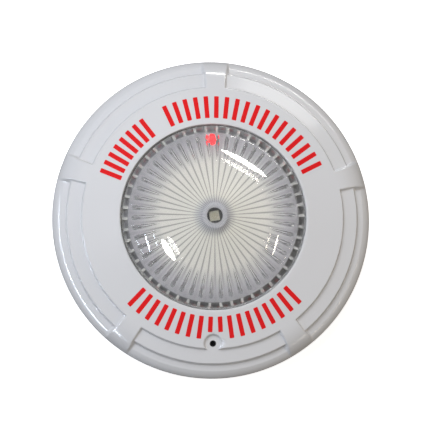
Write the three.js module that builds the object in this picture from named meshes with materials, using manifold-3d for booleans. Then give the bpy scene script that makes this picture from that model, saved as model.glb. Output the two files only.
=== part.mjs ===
// Round alarm indicator beacon: a bayonet base and a twist-on head with a ribbed light dome.
// Millimetres, +Z out through the dome, +Y towards the status light.
// The origin is the centre of the base's flat back.
import * as THREE from 'three';
import { mergeVertices } from 'three/addons/utils/BufferGeometryUtils.js';
import Module from 'manifold-3d';

const wasm = await Module();
wasm.setup();

// Clearances
const seat = 0.05; // between pieces that rest on each other
const gap = 0.3; // between fixed pieces side by side
const running = 0.5; // between pieces that move past each other

// Overall sizes
const rimRadius = 57.5; // widest circle of the cover
const lensRadius = 33; // clear dome where it leaves the cover
const faceHeight = 28; // cover's face at the dome
const rimDrop = 11; // widest circle, below the face
const rimHeight = faceHeight - rimDrop;
const domeRise = 9.5; // dome above the face
const turnSteps = 60; // sides of a large round piece
const smallSteps = 36; // sides of a middling one

// Cover
const coverWall = 2.2;
const openingRadius = lensRadius + gap;
const faceEdgeInset = 10.4; // face's edge, in from the rim
const faceEdgeRadius = rimRadius - faceEdgeInset;
const faceFall = 2.8; // fall of the face from the dome to its edge
const bandStep = 1.0; // face down to the first terrace
const terraceStep = 1.7; // first terrace down to the second
const terraceInset = 4.8; // start of the second terrace, in from the rim
const terraceRadius = rimRadius - terraceInset;
const bandFall = 1.3; // fall across the first terrace
const skirtTaper = 3; // the skirt's lower edge, in from the rim
const skirtRadius = rimRadius - skirtTaper;
const skirtWall = 1.9;
const skirtBottom = 3;
const segmentCount = 5;
const segmentStart = 88.9; // a bridge lies here
const bridgeAngle = 7.8; // width of a bridge between first terraces
const bridgeFlare = 1.6; // added to each side of it at the second terrace
const scallopRadius = 3.1; // bay in the face's edge round the locking screw

// Base
const basePlay = 2.1; // between the base and the skirt round it
const baseRadius = skirtRadius - skirtWall - basePlay;
const baseFloor = 2.2;
const baseWall = 2;
const baseHeight = 8;
const wallInside = baseRadius - baseWall;
const cableEntryRadius = 11;
const fixingRadius = 27; // fixing slots' centres
const fixingSlot = [4, 11]; // width and length
const lugCount = 3;
const lugAngle = 20;
const lugReach = 5.2;
const lugThickness = 2.6;
const lugStopAngle = 3;

// Head
const housingInset = 6.1; // housing's side, in from the base's wall
const housingRadius = wallInside - housingInset;
const housingWall = 1.6;
const housingPlay = 0.4; // between the housing's underside and the base
const housingFloor = baseHeight + housingPlay; // underside height
const tabPlay = 0.8; // angle left at each end of a tab under its lug
const tabThickness = 1.7;
const earInset = 3; // housing screws' circle, in from the base's wall
const earRadius = wallInside - earInset;
const earWidth = 7;
const earAngles = [90, 210, 330];
const postRadius = 2.5;

// Lens and reflector flanges, clamped between the cover and the housing
const flangeDrop = 4.6; // lens flange's top, below the face
const flangeTop = faceHeight - flangeDrop;
const flangeThickness = 1.4;
const flangeWidth = 4;
const flangeRadius = lensRadius + flangeWidth;
const dishFlangeInset = 0.4; // reflector's flange, in from the housing's side
const dishFlangeRadius = housingRadius - dishFlangeInset;
const dishWall = 1;
const lensWall = 2;
const dishEdge = lensRadius - lensWall - gap;
const dishEdgeDrop = 1.8; // dish's edge, below the face
const dishEdgeHeight = faceHeight - dishEdgeDrop;
const apex = faceHeight + domeRise;

// Electronics
const standoffHeight = 3.4;
const boardHeight = housingFloor + housingWall + standoffHeight; // underside of the circuit board
const boardThickness = 1.6;
const boardRadius = housingRadius - housingWall - 1;
const standoffInset = 4.8; // standoffs' circle, in from the board's edge
const standoffRadius = boardRadius - standoffInset;
const standoffAngles = [30, 150, 270];
const collarTop = apex - 4.1;
const ledBoardHeight = collarTop - 4.2;
const ledBoardRadius = 4.6;
const ledBoardThickness = 1;
const ledSide = 3.45;
const ledThickness = 0.7;
const collarHole = 2.8;
const statusAngle = 91;
const statusRadius = dishEdge - dishWall - 2.3;
const statusTip = faceHeight + 0.9;
const terminalAngles = [45, 135, 225, 315];
const ribCount = 50;
const ribDepth = 0.7;

// Fasteners
const screwShank = 1.1;
const screwHead = 2.2;
const lockingInset = 3.4; // locking screw's circle, in from the base's wall
const lockingRadius = wallInside - lockingInset;
const lockingHole = 1.2;
const lockingShank = 0.9;

const radians = THREE.MathUtils.degToRad;
const root = new THREE.Group();

function finish(color, roughness, metalness = 0) {
  return new THREE.MeshStandardMaterial({ color, roughness, metalness });
}

const finishes = {
  whiteShell: () => finish(0xe6e6e6, 0.25),
  clearDome: () => finish(0xf2f2ee, 0.05),
  whiteDish: () => finish(0xf5f5f0, 0.35),
  rubber: () => finish(0x2a2a2a, 0.8),
  board: () => finish(0x1f6b3a, 0.5),
  whiteBoard: () => finish(0xe8e8e4, 0.4),
  metal: () => finish(0xc8c8cc, 0.3, 1),
  brass: () => finish(0xc9a45a, 0.3, 1),
  blackPart: () => finish(0x1a1a1c, 0.4),
  redLight: () => finish(0xd2202a, 0.15),
  phosphor: () => finish(0xd9cf9a, 0.4),
  blueSwitch: () => finish(0x1f4fa0, 0.45),
};

// Places a named piece in the group
function place(name, geometry, material, [x, y, z = 0] = [0, 0], turn = 0) {
  const mesh = new THREE.Mesh(geometry, material());
  mesh.name = name;
  mesh.position.set(x, y, z);
  mesh.rotation.z = radians(turn);
  root.add(mesh);
  return mesh;
}

function polar(radius, degrees) {
  return [radius * Math.cos(radians(degrees)), radius * Math.sin(radians(degrees))];
}

// Geometry to solid and back, for the joins and cuts
function solid(geometry) {
  const bare = new THREE.BufferGeometry();
  const source = geometry.index ? geometry.toNonIndexed() : geometry;
  bare.setAttribute('position', source.getAttribute('position').clone());
  const merged = mergeVertices(bare, 1e-4);
  const index = merged.index.array;
  const triangles = [];
  for (let i = 0; i < index.length; i += 3) {
    const [a, b, c] = [index[i], index[i + 1], index[i + 2]];
    if (a !== b && b !== c && c !== a) triangles.push(a, b, c);
  }
  return new wasm.Manifold(new wasm.Mesh({
    numProp: 3,
    vertProperties: new Float32Array(merged.attributes.position.array),
    triVerts: new Uint32Array(triangles),
  }));
}

function shape(body) {
  const mesh = body.getMesh();
  const geometry = new THREE.BufferGeometry();
  geometry.setAttribute('position', new THREE.BufferAttribute(new Float32Array(mesh.vertProperties), 3));
  geometry.setIndex(new THREE.BufferAttribute(new Uint32Array(mesh.triVerts), 1));
  return geometry;
}

// A body of revolution about Z, from points [radius, height] that run anticlockwise
function revolve(points, steps = turnSteps) {
  const profile = points.map(([r, z]) => new THREE.Vector2(r, z));
  return new THREE.LatheGeometry(profile, steps).rotateX(Math.PI / 2);
}

function ring(inner, outer, bottom, top, steps = turnSteps) {
  return revolve([[inner, bottom], [outer, bottom], [outer, top], [inner, top], [inner, bottom]], steps);
}

function disc(radius, bottom, top, steps = turnSteps) {
  return revolve([[0, bottom], [radius, bottom], [radius, top], [0, top]], steps);
}

function box(width, depth, bottom, top, x = 0, y = 0) {
  return new THREE.BoxGeometry(width, depth, top - bottom).translate(x, y, (top + bottom) / 2);
}

function rod(radius, bottom, top, x = 0, y = 0, sides = 20) {
  return disc(radius, bottom, top, sides).translate(x, y, 0);
}

// A slice of pie between two angles, to cut a sector out of a ring
function wedge(from, to, bottom, top, radius = 2 * rimRadius) {
  const outline = new THREE.Shape();
  outline.moveTo(0, 0);
  const steps = Math.max(1, Math.ceil((to - from) / 30));
  for (let i = 0; i <= steps; i++) {
    const [x, y] = polar(radius, from + ((to - from) * i) / steps);
    outline.lineTo(x, y);
  }
  outline.closePath();
  return new THREE.ExtrudeGeometry(outline, { depth: top - bottom, bevelEnabled: false })
    .translate(0, 0, bottom);
}

function sector(inner, outer, bottom, top, middle, width) {
  const cut = solid(wedge(middle - width / 2, middle + width / 2, bottom - 1, top + 1));
  return solid(ring(inner, outer, bottom, top)).intersect(cut);
}

function join(bodies) {
  return bodies.reduce((sum, body) => sum.add(body));
}

function cut(body, tools) {
  return tools.reduce((rest, tool) => rest.subtract(solid(tool)), body);
}

// ---- Base ----

const tabAngle = lugAngle - 4 * tabPlay;
const lugInside = wallInside - lugReach;
const lugBottom = baseHeight - lugThickness;
const lugAngles = Array.from({ length: lugCount }, (_, i) => 30 + (360 / lugCount) * i);
const lockingLugAngle = 270;

function fixingSlotTool(degrees) {
  const [width, length] = fixingSlot;
  const [x, y] = polar(fixingRadius, degrees);
  const across = Math.abs(Math.round(Math.cos(radians(degrees)))) === 1;
  return across
    ? box(length, width, -1, baseFloor + 1, x, y)
    : box(width, length, -1, baseFloor + 1, x, y);
}

function makeBasePlate() {
  const dish = solid(revolve([
    [0, 0], [baseRadius, 0], [baseRadius, baseHeight], [wallInside, baseHeight],
    [wallInside, baseFloor], [0, baseFloor],
  ]));
  const lugs = lugAngles.map((angle) =>
    sector(lugInside, wallInside + baseWall / 2, lugBottom, baseHeight, angle, lugAngle));
  // Each stop closes the end of its lug and runs a little way under it
  const stops = lugAngles.map((angle) => sector(
    lugInside + seat, wallInside + baseWall / 2, baseFloor - 1, lugBottom + 1,
    angle - lugAngle / 2 - lugStopAngle / 2 + tabPlay / 2, lugStopAngle));
  const slots = [0, 90, 180, 270].map(fixingSlotTool);
  const socketPlace = polar(lockingRadius, lockingLugAngle);
  const lockingSocket = rod(lockingHole, lugBottom - 1, baseHeight + 1, ...socketPlace);
  const entry = disc(cableEntryRadius, -1, baseFloor + 1, smallSteps);
  return shape(cut(join([dish, ...lugs, ...stops]), [...slots, lockingSocket, entry]));
}

place('base_plate', makeBasePlate(), finishes.whiteShell);

// Terminals: a plate with a raised contact pad, and the screw that clamps the wire
const terminalBottom = baseFloor + seat;
const terminalThickness = 0.8;
const terminalTop = terminalBottom + terminalThickness;
const terminalInset = 11.3; // terminal screws' circle, in from the base's wall
const terminalScrewRadius = wallInside - terminalInset;
const contactRadius = terminalScrewRadius - 6.2;
const plateSpan = [contactRadius - 3, terminalScrewRadius + 3.2]; // nearest and farthest from the middle
const terminalWidth = 8;
const padHeight = 0.8;

function makeTerminalContact() {
  const [near, far] = plateSpan;
  const plate = solid(box(far - near, terminalWidth, terminalBottom, terminalTop, (near + far) / 2, 0));
  const pad = solid(box(5, terminalWidth - 2, terminalTop - 0.2, terminalTop + padHeight, contactRadius, 0));
  const hole = rod(screwShank + gap, 0, 2 * terminalTop, terminalScrewRadius, 0, 16);
  return shape(cut(plate.add(pad), [hole]));
}

function makePanScrew(headBottom, headHeight, length, direction = 1, shank = screwShank, head = screwHead) {
  const headTop = headBottom + direction * headHeight;
  const tip = headBottom - direction * length;
  const profile = [
    [0, tip], [shank, tip], [shank, headBottom], [head, headBottom],
    [head, headBottom + direction * headHeight * 0.6], [head * 0.7, headTop], [0, headTop],
  ];
  const body = solid(revolve(direction > 0 ? profile : profile.reverse(), 12));
  const slotTop = headTop + direction;
  const slotFloor = headTop - direction * headHeight * 0.45;
  const [low, high] = [Math.min(slotTop, slotFloor), Math.max(slotTop, slotFloor)];
  const cross = [box(2.2, 0.5, low, high), box(0.5, 2.2, low, high)];
  return shape(cut(body, cross));
}

terminalAngles.forEach((angle, i) => {
  place(`terminal_contact_${i + 1}`, makeTerminalContact(), finishes.brass, [0, 0], angle);
  const screw = makePanScrew(terminalTop + seat, 1.6, terminalThickness, 1, screwShank, 2.6);
  place(`terminal_screw_${i + 1}`, screw, finishes.metal, polar(terminalScrewRadius, angle), angle);
});

// ---- Rear housing ----

const floorTop = housingFloor + housingWall;
const tabBottom = lugBottom - running - tabThickness;
const tabReach = wallInside - running;
const legInside = housingRadius - housingWall;
const housingTop = flangeTop - flangeThickness - gap - dishWall - seat; // the reflector's flange rests here
const windowCentre = [0, 17]; // opening for the mode switches
const windowSize = [13, 8];

function makeRearHousing() {
  const tray = solid(revolve([
    [0, housingFloor], [housingRadius, housingFloor], [housingRadius, housingTop],
    [housingRadius - housingWall, housingTop], [housingRadius - housingWall, floorTop], [0, floorTop],
  ]));
  const tabs = lugAngles.flatMap((angle) => [
    sector(legInside, housingRadius, tabBottom, floorTop, angle, tabAngle),
    sector(legInside, tabReach, tabBottom, tabBottom + tabThickness, angle, tabAngle),
  ]);
  const ears = earAngles.map((angle) => {
    const pad = new THREE.BoxGeometry(8, earWidth, housingWall)
      .translate(earRadius - 1, 0, housingFloor + housingWall / 2)
      .rotateZ(radians(angle));
    return solid(pad);
  });
  const standoffs = standoffAngles.map((angle) =>
    solid(rod(2.8, housingFloor + 1, boardHeight - seat, ...polar(standoffRadius, angle))));
  const pilots = standoffAngles.map((angle) =>
    rod(screwShank + gap, floorTop + 0.4, boardHeight + 1, ...polar(standoffRadius, angle)));
  const earHoles = earAngles.map((angle) =>
    rod(screwShank + gap, 0, floorTop + 1, ...polar(earRadius, angle)));
  const window = box(...windowSize, 0, floorTop + 1, ...windowCentre);
  return shape(cut(join([tray, ...tabs, ...ears, ...standoffs]), [...pilots, ...earHoles, window]));
}

place('rear_housing', makeRearHousing(), finishes.whiteShell);

// Spring blades under the housing, each over a base contact
function makeContactBlade() {
  const top = housingFloor - seat;
  const thickness = 0.5;
  const low = terminalTop + padHeight + gap;
  const path = new THREE.Shape();
  path.moveTo(-8, top);
  path.lineTo(-8, top - thickness);
  path.lineTo(-2.4, top - thickness);
  path.lineTo(0.2, low);
  path.lineTo(1.6, low);
  path.lineTo(3.4, low + 1.6);
  path.lineTo(2.9, low + 1.9);
  path.lineTo(1.3, low + thickness);
  path.lineTo(0.6, low + thickness);
  path.lineTo(-2, top);
  path.closePath();
  return new THREE.ExtrudeGeometry(path, { depth: 4, bevelEnabled: false })
    .translate(0, 0, -2)
    .rotateX(Math.PI / 2)
    .rotateZ(Math.PI / 2)
    .translate(contactRadius, -1, 0);
}

terminalAngles.forEach((angle, i) => {
  place(`contact_blade_${i + 1}`, makeContactBlade(), finishes.brass, [0, 0], angle);
});

earAngles.forEach((angle, i) => {
  const screw = makePanScrew(housingFloor - seat, 1.6, 9, -1);
  place(`housing_screw_${i + 1}`, screw, finishes.metal, polar(earRadius, angle));
});

// ---- Circuit board and what it carries ----

const boardTop = boardHeight + boardThickness;

function makeBoard() {
  const blank = solid(disc(boardRadius, boardHeight, boardTop, smallSteps));
  const holes = standoffAngles.map((angle) =>
    rod(screwShank + gap, 0, 2 * boardTop, ...polar(standoffRadius, angle)));
  return shape(cut(blank, holes));
}

place('pcb', makeBoard(), finishes.board);

standoffAngles.forEach((angle, i) => {
  const screw = makePanScrew(boardTop + seat, 1.4, 4, 1);
  place(`pcb_screw_${i + 1}`, screw, finishes.metal, polar(standoffRadius, angle));
});

const capacitorRadius = 4;
const capacitorHeight = 9;
const capacitorCircle = dishEdge - dishWall - capacitorRadius - 4.4;
const capacitorSpots = [[0, 221.2], [1.6, 255.3]]; // in from their circle, and the angle
capacitorSpots.forEach(([inset, angle], i) => {
  const [outer, height] = [capacitorRadius, capacitorHeight];
  const can = revolve([
    [0, 0], [outer - 0.4, 0], [outer, 0.4], [outer, 1.2], [outer - 0.3, 1.6], [outer, 2],
    [outer, height - 0.4], [outer - 0.4, height], [0, height],
  ], 20);
  const at = polar(capacitorCircle - inset, angle);
  place(`capacitor_${i + 1}`, can, finishes.blackPart, [...at, boardTop + seat]);
});

function makeInductor() {
  const core = solid(disc(5.5, 0, 5, 20));
  const winding = ring(3.5, 8, 1.2, 3.8, 20);
  const coil = solid(ring(3.2, 5, 1.1, 3.9, 20));
  return shape(core.subtract(solid(winding)).add(coil));
}

place('inductor', makeInductor(), finishes.blackPart, [15, -14, boardTop + seat]);
place('controller_chip', box(7, 7, 0, 1.2), finishes.blackPart, [16, 10, boardTop + seat]);

const connectorPlace = [-13, 4, boardTop + seat];
const connectorPins = [-1.25, 1.25];
const connectorHeight = 5.8;

function makeConnector() {
  const shell = solid(box(7, 5, 0, connectorHeight));
  const sockets = connectorPins.map((x) => box(1.7, 2.4, 2, connectorHeight + 1, x, 0));
  return shape(cut(shell, sockets));
}

place('led_connector', makeConnector(), finishes.whiteBoard, connectorPlace);

// ---- Main light ----

const postTop = ledBoardHeight - seat;
const heatPost = revolve([
  [0, boardTop + seat], [6, boardTop + seat], [6, boardTop + 2], [3.6, boardTop + 3.2],
  [3.6, postTop - 2], [4.2, postTop - 1.4], [4.2, postTop], [0, postTop],
], 20);
place('heat_post', heatPost, finishes.metal);

const ledBoardTop = ledBoardHeight + ledBoardThickness;
place('led_board', disc(ledBoardRadius, ledBoardHeight, ledBoardTop, 24), finishes.whiteBoard);
place('led_emitter', box(ledSide, ledSide, 0, ledThickness), finishes.phosphor,
  [0, 0, ledBoardTop + seat], 10);

const ledTop = ledBoardTop + seat + ledThickness;
const domeRadius = 1.35;
const domeCurve = Array.from({ length: 6 }, (_, i) => {
  const lift = radians(18 * i);
  return [domeRadius * Math.cos(lift), 0.8 * domeRadius * Math.sin(lift)];
});
domeCurve[domeCurve.length - 1][0] = 0;
place('led_dome', revolve([[0, 0], ...domeCurve], 16), finishes.clearDome, [0, 0, ledTop + seat]);

// Leads from the connector up beside the post to the edge of the LED's board
function makeLead(side) {
  const [x, y, z] = connectorPlace;
  const pin = connectorPins[side > 0 ? 1 : 0];
  const start = new THREE.Vector3(x + pin, y, z + 2.6);
  const lead = new THREE.CatmullRomCurve3([
    start,
    new THREE.Vector3(x + pin, y, z + connectorHeight + 1),
    new THREE.Vector3(x + pin + 4, y - 1, z + connectorHeight + 3),
    new THREE.Vector3(-5.6, side * 1.6 + 0.6, z + connectorHeight + 3.55),
    new THREE.Vector3(-5.4, side * 1.5, ledBoardHeight - 1),
  ]);
  const round = new THREE.Shape().absarc(0, 0, 0.55, 0, 2 * Math.PI);
  return new THREE.ExtrudeGeometry(round, {
    steps: 16, curveSegments: 4, extrudePath: lead, bevelEnabled: false,
  });
}

place('led_lead_red', makeLead(1), finishes.redLight);
place('led_lead_black', makeLead(-1), finishes.blackPart);

// ---- Status light on its spacer ----

const statusFlange = statusTip - 5.4;
const statusBody = 1.5;
const statusBend = Array.from({ length: 5 }, (_, i) => {
  const lift = radians(22.5 * i);
  return [statusBody * Math.cos(lift), statusTip - statusBody + statusBody * Math.sin(lift)];
});
statusBend[statusBend.length - 1][0] = 0;
const statusShape = revolve([
  [0, statusFlange], [1.9, statusFlange], [1.9, statusFlange + 1], [statusBody, statusFlange + 1],
  ...statusBend,
], 16);
place('status_led', statusShape, finishes.redLight, polar(statusRadius, statusAngle));
place('led_spacer', ring(0.9, 2, boardTop + seat, statusFlange - seat, 16), finishes.blackPart,
  polar(statusRadius, statusAngle));

// ---- Cover ----

const faceEdgeHeight = faceHeight - faceFall;
const terraceTop = faceEdgeHeight - bandStep;
const terraceEdge = terraceTop - bandFall;
const lowerTerrace = terraceEdge - terraceStep;
const skirtBend = rimRadius - 2;
const skirtBendHeight = skirtBottom + 5;
const bridgeProfile = [
  [faceEdgeRadius + 2.9, faceEdgeHeight - 0.9], [terraceRadius, faceEdgeHeight - 2.2],
  [rimRadius - 2.1, faceEdgeHeight - 4.7], [rimRadius - 0.6, rimHeight + 1.5], [rimRadius, rimHeight],
];
const innerEdge = rimRadius - 2.9;

function makeCoverShell() {
  return solid(revolve([
    [skirtRadius - skirtWall, skirtBottom], [skirtRadius, skirtBottom], [skirtBend, skirtBendHeight],
    [rimRadius - 0.5, rimHeight - 1.5], [rimRadius, rimHeight],
    ...bridgeProfile.slice(0, -1).reverse(),
    [faceEdgeRadius - 0.5, faceEdgeHeight], [openingRadius + 6.7, faceHeight - faceFall * 0.42],
    [openingRadius + 0.4, faceHeight], [openingRadius, faceHeight - 0.5],
    [openingRadius, faceHeight - coverWall], [faceEdgeRadius - 1, faceEdgeHeight - coverWall - 0.8],
    [terraceRadius - 0.9, terraceEdge - coverWall], [terraceRadius + 0.6, lowerTerrace - coverWall],
    [innerEdge, rimHeight - 0.2], [innerEdge, rimHeight - 1.5], [skirtBend - 2.1, skirtBendHeight],
    [skirtRadius - skirtWall, skirtBottom],
  ]));
}

// What is cut away over a terrace, as a full ring
function upperTerraceTool() {
  return revolve([
    [faceEdgeRadius, terraceTop], [terraceRadius - 0.3, terraceEdge], [terraceRadius, lowerTerrace + 0.3],
    [terraceRadius + 2.6, lowerTerrace - 1.1], [rimRadius + 4, rimHeight - 1.2],
    [rimRadius + 4, faceHeight + 2], [faceEdgeRadius - 0.4, faceHeight + 2], [faceEdgeRadius, terraceTop],
  ]);
}

function lowerTerraceTool() {
  return revolve([
    [terraceRadius, lowerTerrace], [terraceRadius + 2.4, lowerTerrace - 1.2],
    [rimRadius + 4, rimHeight - 2.6], [rimRadius + 4, faceHeight + 2], [terraceRadius - 0.2, faceHeight + 2],
    [terraceRadius, lowerTerrace],
  ]);
}

function makeCover() {
  const span = 360 / segmentCount;
  let cover = makeCoverShell();
  for (let i = 0; i < segmentCount; i++) {
    const from = segmentStart + span * i + bridgeAngle / 2;
    const to = from + span - bridgeAngle;
    const upperSlice = solid(wedge(from, to, rimHeight - 4, faceHeight + 3));
    const keepInside = solid(disc(terraceRadius, rimHeight - 4, faceHeight + 3));
    cover = cover.subtract(solid(upperTerraceTool()).intersect(upperSlice).intersect(keepInside));
    const lowerSlice = solid(wedge(from + bridgeFlare, to - bridgeFlare, rimHeight - 4, faceHeight + 3));
    cover = cover.subtract(solid(lowerTerraceTool()).intersect(lowerSlice));
  }
  const [lockX, lockY] = polar(lockingRadius, 270);
  const bay = rod(scallopRadius, terraceTop, faceHeight + 2, lockX, lockY, 32);
  const posts = earAngles.map((angle) =>
    solid(rod(postRadius, floorTop + gap, faceEdgeHeight - 2, ...polar(earRadius, angle))));
  const pilots = earAngles.map((angle) =>
    rod(screwShank + gap, 0, housingFloor + 10.5, ...polar(earRadius, angle)));
  const guide = solid(rod(lockingHole + 1.2, baseHeight + running, terraceTop - 1, lockX, lockY));
  const guideHole = rod(lockingHole, 0, faceHeight + 2, lockX, lockY);
  return shape(cut(join([cover.subtract(solid(bay)), ...posts, guide]), [...pilots, guideHole]));
}

place('cover', makeCover(), finishes.whiteShell);

// Locking screw in its guide, backed off so that its tip stays clear of the base
const lockingTip = baseHeight + running;
const lockingTop = terraceTop - 3;

function makeLockingScrew() {
  const body = solid(revolve([
    [0, lockingTip], [lockingShank * 0.6, lockingTip], [lockingShank, lockingTip + 0.8],
    [lockingShank, lockingTop], [0, lockingTop],
  ], 20));
  const hex = new THREE.CylinderGeometry(0.5, 0.5, 3, 6).rotateX(Math.PI / 2).translate(0, 0, lockingTop);
  return shape(body.subtract(solid(hex)));
}

place('locking_screw', makeLockingScrew(), finishes.metal, polar(lockingRadius, 270));

// ---- Lens, its seal and the reflector ----

const shoulderRadius = lensRadius - 2.1;
const shoulderHeight = faceHeight + 2.6;
const crownRadius = shoulderRadius - 0.7;
const crownHeight = shoulderHeight + 1.6;
const hubRadius = 4.8; // smooth middle without ribs

// Points on the dome's arc, from the crown to its middle, in a number of steps
function arcTo(startRadius, startHeight, topHeight, steps) {
  const rise = topHeight - startHeight;
  const bend = (startRadius ** 2 + rise ** 2) / (2 * rise);
  return Array.from({ length: steps }, (_, i) => {
    const r = startRadius * (1 - i / steps);
    return [r, topHeight - bend + Math.sqrt(bend ** 2 - r ** 2)];
  });
}

function makeLens() {
  const outer = [
    [flangeRadius, flangeTop - flangeThickness], [flangeRadius, flangeTop], [lensRadius, flangeTop],
    [lensRadius, faceHeight], [shoulderRadius, shoulderHeight],
    ...arcTo(crownRadius, crownHeight, apex, 4), [0, apex],
  ];
  const innerDome = arcTo(crownRadius - lensWall + 0.4, crownHeight - lensWall, apex - lensWall, 5);
  const smoothStart = innerDome.findIndex(([r]) => r < hubRadius);
  const inner = [
    [0, apex - lensWall], ...innerDome.reverse(),
    [shoulderRadius - lensWall, shoulderHeight - 1.2], [lensRadius - lensWall, faceHeight - 0.8],
    [lensRadius - lensWall, flangeTop - flangeThickness], [flangeRadius, flangeTop - flangeThickness],
  ];
  const geometry = revolve([...outer, ...inner], 2 * ribCount);
  // Every other meridian of the inner dome sinks inwards, which makes the ribs
  const rows = outer.length + inner.length;
  const firstRib = outer.length + 1 + (innerDome.length - (smoothStart < 0 ? innerDome.length : smoothStart));
  const lastRib = outer.length + innerDome.length + 1;
  const position = geometry.getAttribute('position');
  for (let step = 1; step < 2 * ribCount; step += 2) {
    for (let row = firstRib; row <= lastRib; row++) {
      const i = step * rows + row;
      position.setZ(i, position.getZ(i) - ribDepth);
    }
  }
  return geometry;
}

place('lens', makeLens(), finishes.clearDome);

const sealRadius = lensRadius + flangeWidth / 2;
const seal = new THREE.TorusGeometry(sealRadius, 0.6, 6, smallSteps).translate(0, 0, flangeTop + 0.6 + seat);
place('lens_seal', seal, finishes.rubber);

function makeReflector() {
  const flangeUnder = flangeTop - flangeThickness - gap - dishWall;
  const flangeOver = flangeTop - flangeThickness - gap;
  const dish = solid(revolve([
    [dishEdge - dishWall, flangeUnder], [dishFlangeRadius, flangeUnder], [dishFlangeRadius, flangeOver],
    [dishEdge, flangeOver], [dishEdge, dishEdgeHeight], [15, dishEdgeHeight + 2.4], [7, collarTop - 2.7],
    [5.2, collarTop - 1.1], [4.3, collarTop], [collarHole, collarTop], [collarHole, collarTop - 1],
    [4.1, collarTop - 1.8], [5.4, collarTop - 3], [6.6, collarTop - 4], [15, dishEdgeHeight + 1.2],
    [dishEdge - dishWall, dishEdgeHeight - dishWall],
    [dishEdge - dishWall, flangeUnder],
  ], smallSteps));
  const window = rod(statusBody + gap, statusFlange, collarTop, ...polar(statusRadius, statusAngle));
  return shape(cut(dish, [window]));
}

place('reflector', makeReflector(), finishes.whiteDish);

// ---- Mode switches, in the housing's window under the board ----

const switchTop = boardHeight - seat;
const switchBottom = floorTop - 0.6;
const switchPitch = 2.54;
const sliderSide = 1.1;
const sliderTravel = 1.6;
const switchSlot = sliderSide + sliderTravel + 2 * gap;

function makeSwitchBody() {
  const body = solid(box(windowSize[0] - 2, windowSize[1] - 2, switchBottom, switchTop, ...windowCentre));
  const slots = [0, 1, 2, 3].map((i) => {
    const x = (i - 1.5) * switchPitch;
    return box(sliderSide + 2 * gap, switchSlot, switchBottom - 1, switchBottom + 1.8, x, windowCentre[1]);
  });
  return shape(cut(body, slots));
}

place('dip_switch_body', makeSwitchBody(), finishes.blueSwitch);

for (let i = 0; i < 4; i++) {
  const x = (i - 1.5) * switchPitch;
  const y = windowCentre[1] - sliderTravel / 2;
  const slider = box(sliderSide, sliderSide, switchBottom - 0.6, switchBottom + 1.8 - gap);
  place(`dip_slider_${i + 1}`, slider, finishes.whiteBoard, [x, y, 0]);
}

export default root;
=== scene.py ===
import math

import bmesh
import bpy
from mathutils import Matrix, Vector


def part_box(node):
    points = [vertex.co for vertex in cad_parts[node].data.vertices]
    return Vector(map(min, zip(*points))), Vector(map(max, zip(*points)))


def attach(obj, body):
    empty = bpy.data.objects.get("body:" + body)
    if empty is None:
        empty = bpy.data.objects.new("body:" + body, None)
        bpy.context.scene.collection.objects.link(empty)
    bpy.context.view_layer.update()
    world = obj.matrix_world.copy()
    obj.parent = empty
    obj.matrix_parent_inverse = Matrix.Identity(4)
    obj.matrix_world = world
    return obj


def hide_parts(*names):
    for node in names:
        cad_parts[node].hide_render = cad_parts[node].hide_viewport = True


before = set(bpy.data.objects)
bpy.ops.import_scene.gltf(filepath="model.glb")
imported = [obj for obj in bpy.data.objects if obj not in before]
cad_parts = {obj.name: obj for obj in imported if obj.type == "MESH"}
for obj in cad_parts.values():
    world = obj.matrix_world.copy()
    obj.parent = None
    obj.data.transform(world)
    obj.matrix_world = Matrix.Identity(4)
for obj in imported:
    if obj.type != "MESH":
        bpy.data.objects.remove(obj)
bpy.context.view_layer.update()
print("stage: frame loaded")

mm = 0.001


def smoothStep(low, high, value):
    t = min(1.0, max(0.0, (value - low) / (high - low)))
    return t * t * (3 - 2 * t)


def mix(a, b, share):
    return a + (b - a) * share


def onCircle(radius, degrees, height=0.0):
    angle = math.radians(degrees)
    return Vector((radius * math.cos(angle), radius * math.sin(angle), height))


def newMaterial(name):
    material = bpy.data.materials.new(name)
    material.use_nodes = True
    nodes = material.node_tree.nodes
    return material, nodes, material.node_tree.links, nodes["Principled BSDF"]


def addNoise(nodes, links, scale, detail=3.0, stretch=(1, 1, 1)):
    coordinates = nodes.new("ShaderNodeTexCoord")
    mapping = nodes.new("ShaderNodeMapping")
    mapping.inputs["Scale"].default_value = stretch
    noise = nodes.new("ShaderNodeTexNoise")
    noise.inputs["Scale"].default_value = scale
    noise.inputs["Detail"].default_value = detail
    links.new(coordinates.outputs["Object"], mapping.inputs["Vector"])
    links.new(mapping.outputs["Vector"], noise.inputs["Vector"])
    return noise


def addRamp(nodes, links, source, low, high, start=0.3, end=0.7):
    ramp = nodes.new("ShaderNodeMapRange")
    ramp.inputs["From Min"].default_value = start
    ramp.inputs["From Max"].default_value = end
    ramp.inputs["To Min"].default_value = low
    ramp.inputs["To Max"].default_value = high
    links.new(source, ramp.inputs["Value"])
    return ramp


def addBump(nodes, links, source, distance):
    bump = nodes.new("ShaderNodeBump")
    bump.inputs["Strength"].default_value = 1.0
    bump.inputs["Distance"].default_value = distance
    links.new(source, bump.inputs["Height"])
    return bump


def addTint(nodes, links, share, first, second, target):
    # a blend of two colours by a share, into a colour socket
    tint = nodes.new("ShaderNodeMix")
    tint.data_type = "RGBA"
    tint.inputs["A"].default_value = (*first, 1)
    tint.inputs["B"].default_value = (*second, 1)
    links.new(share, tint.inputs["Factor"])
    links.new(tint.outputs["Result"], target)
    return tint


plastic = {
    "cloudScale": 45.0, "coatRoughness": 0.06, "roughSpread": 0.15,
    "grain": 900.0, "grainDepth": 0.00001, "mottle": 0.04,
}


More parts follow.
